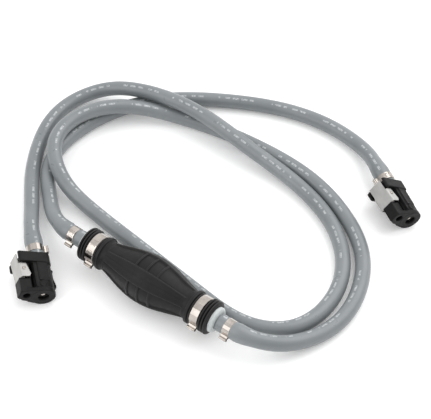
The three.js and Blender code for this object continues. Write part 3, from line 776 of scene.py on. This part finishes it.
def strip_section(thick, width, bevel=0.18):
    """Section of the strip: out from its middle, and across its width."""
    x, y = thick / 2, width / 2
    return [(-x, -y + bevel), (-x + bevel, -y), (x - bevel, -y), (x, -y + bevel),
            (x, y - bevel), (x - bevel, y), (-x + bevel, y), (-x, y - bevel)]


def add_clamp(name, place, inner, width, start, ear_angle, node):
    thick = STRIP_THICK
    outline, out = clamp_path(inner, thick, ear_angle)
    middle = start + width / 2
    path = np.stack([outline[:, 0], np.full(len(outline), middle), outline[:, 1]], 1)
    normals = np.stack([out[:, 0], np.zeros(len(out)), out[:, 1]], 1)
    band = sweep(path, normals, strip_section(thick, width), closed=True)
    # the outer end of the strip laps over the band
    lap, lap_out = [], []
    steps = 59
    for i in range(steps + 1):
        a = radians(ear_angle + LAP_START + LAP_ANGLE * i / steps)
        radius = inner + thick * 1.5 + 0.02
        lap.append((radius * sin(a), middle, radius * cos(a)))
        lap_out.append((sin(a), 0, cos(a)))
    over = sweep(lap, lap_out, strip_section(thick * 0.85, width))
    # tongues of the inner layer show in slots of the outer one
    hooks = []
    for at in TONGUES_AT:
        a = radians(ear_angle + at)
        hook = block((-0.9, -width * 0.28, -0.45), (0.9, width * 0.28, 0.45))
        hook = turned_about(hook, "Y", ear_angle + at)
        reach = inner + thick * 2.0
        hooks.append(moved(hook, (reach * sin(a), middle, reach * cos(a))))
    # a pressed rib stiffens the top of the ear
    top = inner + thick + EAR_RISE
    a = radians(ear_angle)
    rib = block((-0.55, -width * 0.34, -0.5), (0.55, width * 0.34, 0.25))
    rib = moved(turned_about(rib, "Y", ear_angle), (top * sin(a), middle, top * cos(a)))
    mesh = bevelled(merged([band, over, rib, *hooks]), 0.14, 2, 50)
    add_piece(name, mesh, place, "root", "steel", [node], 40)


def add_clamps():
    for end in ("inlet", "outlet"):
        cuff_at = BULB_HALF + CUFF_CLAMP_AT - BULB_CLAMP_WIDTH / 2
        add_clamp(f"{end}_bulb_band", end_place(end), CUFF_R + 0.1, BULB_CLAMP_WIDTH, cuff_at,
                  EAR_ANGLES[end], f"{end}_bulb_clamp")
        hose_at = HOSE_START[end] + CLAMP_FROM_END[end]
        add_clamp(f"{end}_hose_band", end_place(end), HOSE_R + 0.28, HOSE_CLAMP_WIDTH, hose_at,
                  EAR_ANGLES[end], f"{end}_hose_clamp")
    for side in ("left", "right"):
        hose_at = HOUSING_LENGTH + FIT + CLAMP_FROM_END["connector"]
        add_clamp(f"{side}_hose_band", PLACES[side], HOSE_R + 0.28, HOSE_CLAMP_WIDTH, hose_at,
                  EAR_ANGLES[side], f"{side}_hose_clamp")


add_clamps()

# ---------------------------------------------------------------- quick connectors
FACE_R = 12.3
LOBE_R = 7.6
GUIDE_OFFSET = 17.5
BARREL_R = 11.2
FACE_THICK = 4.0
BAR_DEPTH = 11.7
BAR_START = HOUSING_LENGTH - BAR_DEPTH
BLOCK_LENGTH = 17.2
CORE_START = BLOCK_LENGTH + 3
BLOCK_LEFT, BLOCK_HALF = -25.0, 6.5
CORE_LEFT, CORE_HALF = -21.6, 7.6
PORT_R = 5.2
GUIDE_R = 3.75
GUIDE_DEPTH = 24.0
PANEL_LEFT, PANEL_RIGHT = -5.6, 4.4       # the raised panel on the barrel
PANEL_START = FACE_THICK + 9.5
STRIP_LEFT, STRIP_RIGHT = -9.8, -5.0
GROOVE = (-13.0, -10.2)
PAD_AT = (-3.0, 8.5)
PAD_R, DISH_R = 3.3, 2.4
TAB = (-25.2, -18.0)
THUMB_AT = 40.0                           # along the housing, like the sizes below
PIVOT = (-19.6, 27.4)
PIN_HOLE_R = 1.6
LATCH_TILT = 4.5                          # degrees
LATCH_HEIGHT = 18.4
LATCH_DROP = 1.5                          # how much lower its lower edge reaches than in the CAD
LATCH_THICK = 0.9
LATCH_WEB = -4.3                          # outer face, from the pivot
SEAL_R, SEAL_WIRE_R, SEAL_AT = 5.4, 1.1, 4.6
PLUNGER_SPRING = (4.2, 9.6, 25.7)         # outer radius, start and end
THUMB_SPRING_R = 2.5
THUMB_FLOOR = -14.9


def egg_outline(grow=0.0, sides=72):
    """Two round lobes and their tangents."""
    big, small = FACE_R + grow, LOBE_R + grow
    tangent = pi - acos((big - small) / GUIDE_OFFSET)
    outline = []
    for i in range(sides + 1):
        a = -tangent + 2 * tangent * i / sides
        outline.append((big * cos(a), big * sin(a)))
    for i in range(sides // 2 + 1):
        a = tangent + (2 * pi - 2 * tangent) * i / (sides // 2)
        outline.append((-GUIDE_OFFSET + small * cos(a), small * sin(a)))
    return outline


def housing_mesh():
    panel = BARREL_R + 0.2
    rim = panel + 0.35
    into_bar = BAR_START + 1
    bar = [(-24.2, -11.8, 1.8), (8.3, -11.8, 1.2), (11.4, -8.0, 1.2), (11.4, 6.0, 3.0),
           (7.2, 12.5, 4.0), (-22.8, 12.5, 1.6), (-24.2, 11.2, 1.0)]
    # thicker on the plain side, so that the barrel runs flush with the face and the bar
    shoulder = [(0, 0), *[(11.9 * cos(radians(a)), 11.9 * sin(radians(a))) for a in range(8, 68, 4)]]
    wing = [(10.0, 14.0), (12.4, 9.6), (14.4, 9.8), (15.4, 13.0), (14.6, 17.0),
            (13.2, 23.0), (13.5, 28.5), (14.4, 31.0), (13.4, 32.8), (10.0, 33.2)]
    gap = [(11.4, 16.5), (12.4, 12.6), (13.6, 13.6), (13.2, 17.2), (12.2, 23.0), (11.4, 23.0)]
    # left of the port the face is squarer: a flat end, and a foot in two steps
    cheek = [(-12, 8.4), (-17.5, 7.4, 2), (-23.6, 6.4, 2), (-25.2, 4.6, 1), (-25.2, -4.4, 1),
             (-23.4, -6.6, 0.6), (-20.8, -6.9, 0.3), (-20.2, -8.3, 0.5), (-14.0, -9.1, 0.3),
             (-12.8, -10.4, 0.6), (-5.0, -11.9, 2), (-2.0, 0)]
    solids = [
        prism(egg_outline(), 0, FACE_THICK),
        prism(rounded(cheek, 0.8), 0.15, FACE_THICK - 0.6),
        rod(FACE_R - 0.2, -0.25, FACE_THICK + 0.6),
        prism(egg_outline(-0.9), FACE_THICK - 1, FACE_THICK + 1.6),
        rod(BARREL_R, 2, into_bar),
        rod(BARREL_R + 0.35, FACE_THICK - 1, FACE_THICK + 1.2),
        prism(shoulder, 1, into_bar),
        block((PANEL_LEFT, PANEL_START, -panel), (PANEL_RIGHT, into_bar, panel)),
        block((PANEL_LEFT - 0.3, PANEL_START - 0.9, panel - 3), (PANEL_LEFT + 0.5, into_bar, rim)),
        block((PANEL_RIGHT - 0.4, PANEL_START - 0.9, panel - 3),
              (PANEL_RIGHT + 0.4, into_bar, rim)),
        block((PANEL_LEFT - 0.3, PANEL_START - 0.9, panel - 3),
              (PANEL_RIGHT + 0.4, PANEL_START - 0.1, rim)),
        block((STRIP_LEFT, FACE_THICK + 1.5, -9.4), (STRIP_RIGHT, into_bar, 10.3)),
        block((STRIP_LEFT, FACE_THICK + 1.5, 5), (STRIP_LEFT + 0.8, into_bar, 10.65)),
        prism(rounded(bar, 1.2), BAR_START, HOUSING_LENGTH),
        plate(rounded([(TAB[0], BAR_START + 0.6, 2), (TAB[1], BAR_START + 0.6),
                       (TAB[1], HOUSING_LENGTH - 1.4), (TAB[0], HOUSING_LENGTH - 1.4, 2)], 0),
              -13.6, -11.1),
        block((BLOCK_LEFT, 1, -BLOCK_HALF), (-8, BLOCK_LENGTH, BLOCK_HALF)),
        block((CORE_LEFT, CORE_START, -CORE_HALF), (-8, into_bar, CORE_HALF)),
        plate(rounded(wing, 0.8), -1, 1.6),
        plate(circle(PAD_R, 40, PAD_AT), 0, BARREL_R + 0.6),
        rod(9.6, HOUSING_LENGTH - 1, HOUSING_LENGTH + 0.2),
    ]
    pocket = block((-27, BAR_START - 1, -11.2), (-20.0, HOUSING_LENGTH + 1, 9.8))
    pin_hole = plate(circle(PIN_HOLE_R, 24, PIVOT), -20, 20)
    thumb_hole = turned_about(rod(THUMB_SPRING_R + 0.6, 0, 6.7, 32), "Z", -90)
    guide = moved(rod(GUIDE_R, -1, GUIDE_DEPTH, 48), (-GUIDE_OFFSET, 0, 0))
    guide_mouth = moved(
        lathe([(0.01, -0.5), (GUIDE_R + 0.75, -0.5), (GUIDE_R, 0.7), (0.01, 0.7)], 48),
        (-GUIDE_OFFSET, 0, 0))
    port_mouth = lathe([(0.01, -0.5), (PORT_R + 0.8, -0.5), (PORT_R, 0.7), (0.01, 0.7)], 64)
    # a shallow dish in the round pad
    dish = plate(circle(DISH_R, 40, PAD_AT), BARREL_R + 0.25, BARREL_R + 2)
    cuts = [
        rod(PORT_R, -1, 26),
        rod(6.8, 3.2, 6.0),
        rod(3.0, 25, 31, 32),
        rod(5.8, HOUSING_LENGTH - 16.4, HOUSING_LENGTH + 2, 48),
        guide, guide_mouth, port_mouth, pocket, pin_hole, dish,
        plate(rounded(gap, 0.4), -2, 3),
        block((GROOVE[0], 5.0, 1.5), (GROOVE[1], BAR_START - 0.3, 14)),
        moved(thumb_hole, (-21.0, THUMB_AT, 0)),
    ]
    return moulded(solids, cuts)


def latch_mesh():
    """Pressed steel lever about its pivot: a web, two flanges with bent corners, and a hook."""
    bend = 1.3
    top = LATCH_HEIGHT / 2 - LATCH_THICK / 2
    web = LATCH_WEB + LATCH_THICK / 2
    front, rear, flange_rear = -9.8, 18.2, 6.0
    web_steps, bend_steps, flange_steps = 12, 5, 5

    def flange_reach(y):
        return np.interp(y, [front, front + 3.1, flange_rear], [4.2, 6.2, 3.4])

    rows = sorted({*np.linspace(front, flange_rear, 15), *np.linspace(flange_rear, rear, 12)})
    points, faces, grid = [], [], {}

    def corner(key, point):
        if key not in grid:
            grid[key] = len(points)
            points.append(point)
        return grid[key]

    def section(y, height):
        """Middle line from the web's centre out to one flange's edge, as (x, z) points."""
        line = [(web, (height - bend) * i / web_steps) for i in range(web_steps)]
        for i in range(bend_steps + 1):
            a = pi / 2 * i / bend_steps
            line.append((web + bend * (1 - cos(a)), height - bend + bend * sin(a)))
        reach = flange_reach(y)
        for i in range(1, flange_steps + 1):
            line.append((web + bend + (reach - web - bend) * i / flange_steps, height))
        return line

    for sign in (1, -1):
        for i in range(len(rows) - 1):
            y0, y1 = rows[i], rows[i + 1]
            height = top if sign > 0 else top + LATCH_DROP
            a, b = section(y0, height), section(y1, height)
            stop = len(a) - 1 if y1 <= flange_rear + 1e-6 else web_steps
            for k in range(stop):
                keys = [(i, k), (i, k + 1), (i + 1, k + 1), (i + 1, k)]
                where = [a[k], a[k + 1], b[k + 1], b[k]]
                spots = []
                for (row, col), (x, z) in zip(keys, where):
                    key = (row, col, sign if col else 0)
                    spots.append(corner(key, (x, rows[row], sign * z)))
                faces.append(spots if sign > 0 else spots[::-1])
    mesh = new_mesh("latch", (np.array(points, float), faces))
    sheet = finished(mesh, [
        ("SOLIDIFY", {"thickness": LATCH_THICK * MM, "offset": 0.0, "use_even_offset": True}),
        ("BEVEL", {"width": 0.16 * MM, "segments": 2, "limit_method": "ANGLE",
                   "angle_limit": radians(50)}),
    ])
    hook = bevelled(block((LATCH_WEB, -9.5, -7.2), (-0.1, -8.6, 7.2)), 0.2)
    return joined_meshes("latch", [sheet, hook])


def joined_meshes(name, meshes):
    """One mesh that holds several."""
    work = bmesh.new()
    for mesh in meshes:
        work.from_mesh(mesh)
    whole = bpy.data.meshes.new(name)
    work.to_mesh(whole)
    work.free()
    return whole


def spring_shape(outer, start, end, turns):
    """Helical spring about Y."""
    count = turns * 28
    middle = outer - WIRE_R
    path, out = [], []
    for i in range(count + 1):
        a = 2 * pi * turns * i / count
        rise = start + WIRE_R + (end - start - 2 * WIRE_R) * i / count
        path.append((middle * cos(a), rise, middle * sin(a)))
        out.append((cos(a), 0, sin(a)))
    return sweep(path, out, circle(WIRE_R, 10))


def squeeze(spring):
    """Gives the spring a mesh of its own."""
    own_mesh(spring)


def add_springs_and_seals(side):
    place = PLACES[side]
    ring = circle(SEAL_WIRE_R, 16, (SEAL_R, SEAL_AT))
    seal = new_mesh("seal", lathe(ring, 64))
    add_piece(f"{side}_seal_ring", seal, place, "root", "seal", [f"{side}_port_seal"], 0)
    outer, low, high = PLUNGER_SPRING
    coil = new_mesh("coil", spring_shape(outer, low, high, 4))
    coil = add_piece(f"{side}_plunger_coil", coil, place, "root", "steel",
                     [f"{side}_plunger_spring"], 0)
    squeeze(coil)
    lever = THUMB_AT - PIVOT[1]
    lean = lever * sin(radians(LATCH_TILT))
    held = (THUMB_FLOOR, THUMB_AT, 0)
    free = lean - PIVOT[0] - LATCH_WEB - LATCH_THICK + THUMB_FLOOR - 2 * FIT
    coil = turned_about(spring_shape(THUMB_SPRING_R, 0, free, 4), "Z", 90)
    coil = new_mesh("coil", moved(coil, held))
    coil = add_piece(f"{side}_thumb_coil", coil, place, "root", "steel", [f"{side}_latch_spring"], 0)
    squeeze(coil)


def add_connector(side, housing):
    place = PLACES[side]
    add_piece(f"{side}_body_moulding", housing.copy(), place, "root", "housing",
              [f"{side}_housing"], 0)
    hinge = place @ Matrix.Translation((PIVOT[0] * MM, PIVOT[1] * MM, 0))
    hinge = hinge @ Matrix.Rotation(radians(LATCH_TILT), 4, "Z")
    add_piece(f"{side}_latch_plate", latch_mesh(), hinge, f"{side}_latch", "latch",
              [f"{side}_latch_lever"], 40)
    # shut-off valve with a polished, domed nose
    nose = [(0.01, 2.2), (1.3, 2.3), (2.3, 2.7), (2.9, 3.3), (3.1, 4.1), (3.1, 6.2)]
    plunger = lathe([*nose, (4.5, 6.3), (4.8, 6.6), (4.8, 9.0), (4.5, 9.3), (1.7, 9.3),
                     (1.7, 15.0), (1.4, 15.3), (0.01, 15.3)], 48)
    add_piece(f"{side}_shutoff_valve", new_mesh("plunger", plunger), place, f"{side}_plunger",
              "steel", [f"{side}_valve_plunger"], 40)
    # pivot pin, its heads staked into a dimple
    top = LATCH_HEIGHT / 2 + FIT + 0.6
    half = [(0.01, top - 0.8), (0.8, top - 0.6), (1.05, top - 0.1), (1.3, top), (1.7, top - 0.15),
            (1.8, top - 0.55), (1.3, top - 0.6)]
    pin = lathe([*half, *[(r, -y - LATCH_DROP) for r, y in half[::-1]]], 32)
    pin = moved(turned_about(pin, "X", 90), (*PIVOT, 0))
    add_piece(f"{side}_pivot_pin", new_mesh("pin", pin), place, "root", "steel",
              [f"{side}_latch_pin"], 40)
    add_springs_and_seals(side)


housing = housing_mesh()
for side in ("left", "right"):
    add_connector(side, housing)


RING_LENGTH = 2.8             # of the inlet's cage and the outlet's seat
POPPET_THICK = 1.9
VALVE_SPRING_R = 4.5


def add_check_valve_springs():
    """The springs of the bulb's two check valves."""
    ring_end = PLUG_END + FIT + RING_LENGTH
    disc_room = POPPET_THICK + FIT
    spans = {"inlet": (ring_end + FIT, SEAT_AT - FIT - disc_room),
             "outlet": (ring_end + FIT + disc_room, SEAT_AT - FIT)}
    for end, (start, stop) in spans.items():
        mesh = new_mesh("coil", spring_shape(VALVE_SPRING_R, start, stop, 3))
        coil = add_piece(f"{end}_valve_coil", mesh, end_place(end), "root", "steel",
                         [f"{end}_spring"], 0)
        # the inlet's spring is held by its cage, the outlet's by the valve body
        squeeze(coil)


add_check_valve_springs()

# ---------------------------------------------------------------- CAD nodes that stay as they are
SLOTS = {entry["node"]: entry["material_slot"] for entry in frame["record"]["subparts"]}
for node, thing in frame["nodes"].items():
    if not thing.hide_render:
        thing.data.materials.clear()
        thing.data.materials.append(LOOKS[SLOTS[node]])
        thing.data.set_sharp_from_angle(angle=radians(35))


# ---------------------------------------------------------------- floor and light
FLOOR_REACH = 6.0             # metres


def add_floor():
    mesh = bpy.data.meshes.new("floor")
    reach = FLOOR_REACH
    corners = [(-reach, -reach, 0), (reach, -reach, 0), (reach, reach, 0), (-reach, reach, 0)]
    mesh.from_pydata(corners, [], [[0, 1, 2, 3]])
    floor = bpy.data.objects.new("floor", mesh)
    paint = Paint("floor_white")
    tone = paint.mix(paint.noise(3, 2), (0.90, 0.90, 0.90), (0.92, 0.92, 0.92))
    paint.set(Base_Color=tone, Roughness=0.6)
    paint.shader.inputs["Emission Color"].default_value = (1.0, 1.0, 1.0, 1)
    paint.shader.inputs["Emission Strength"].default_value = 0.14
    mesh.materials.append(paint.material)
    bpy.context.scene.collection.objects.link(floor)


def add_area(name, at, aim, size, watts):
    data = bpy.data.lights.new(name, "AREA")
    data.shape = "DISK"
    data.size = size
    data.energy = watts
    light = bpy.data.objects.new(name, data)
    light.location = at
    light.rotation_euler = (Vector(aim) - Vector(at)).to_track_quat("-Z", "Y").to_euler()
    bpy.context.scene.collection.objects.link(light)


def add_world():
    """A studio that is bright behind and above the object, and dimmer on the camera's side."""
    world = bpy.data.worlds.new("studio")
    world.use_nodes = True
    tree = world.node_tree
    background = tree.nodes["Background"]
    toward = tree.nodes.new("ShaderNodeVectorMath")
    toward.operation = "DOT_PRODUCT"
    place = tree.nodes.new("ShaderNodeTexCoord")
    tree.links.new(place.outputs["Generated"], toward.inputs[0])
    toward.inputs[1].default_value = (0.30, 0.62, 0.72)
    ramp = tree.nodes.new("ShaderNodeMapRange")
    ramp.interpolation_type = "SMOOTHSTEP"
    tree.links.new(toward.outputs["Value"], ramp.inputs["Value"])
    for socket, number in (("From Min", -0.1), ("From Max", 0.95), ("To Min", 0.62), ("To Max", 1.25)):
        ramp.inputs[socket].default_value = number
    tree.links.new(ramp.outputs["Result"], background.inputs["Strength"])
    background.inputs["Color"].default_value = (1.0, 1.0, 1.0, 1)
    bpy.context.scene.world = world


add_floor()
add_world()
AIM = (0, 0.05, 0)
add_area("key", (0.85, 0.55, 1.20), AIM, 1.6, 11)
add_area("fill", (-1.1, -0.5, 0.9), AIM, 1.4, 8)
bpy.context.scene.view_settings.view_transform = "Standard"
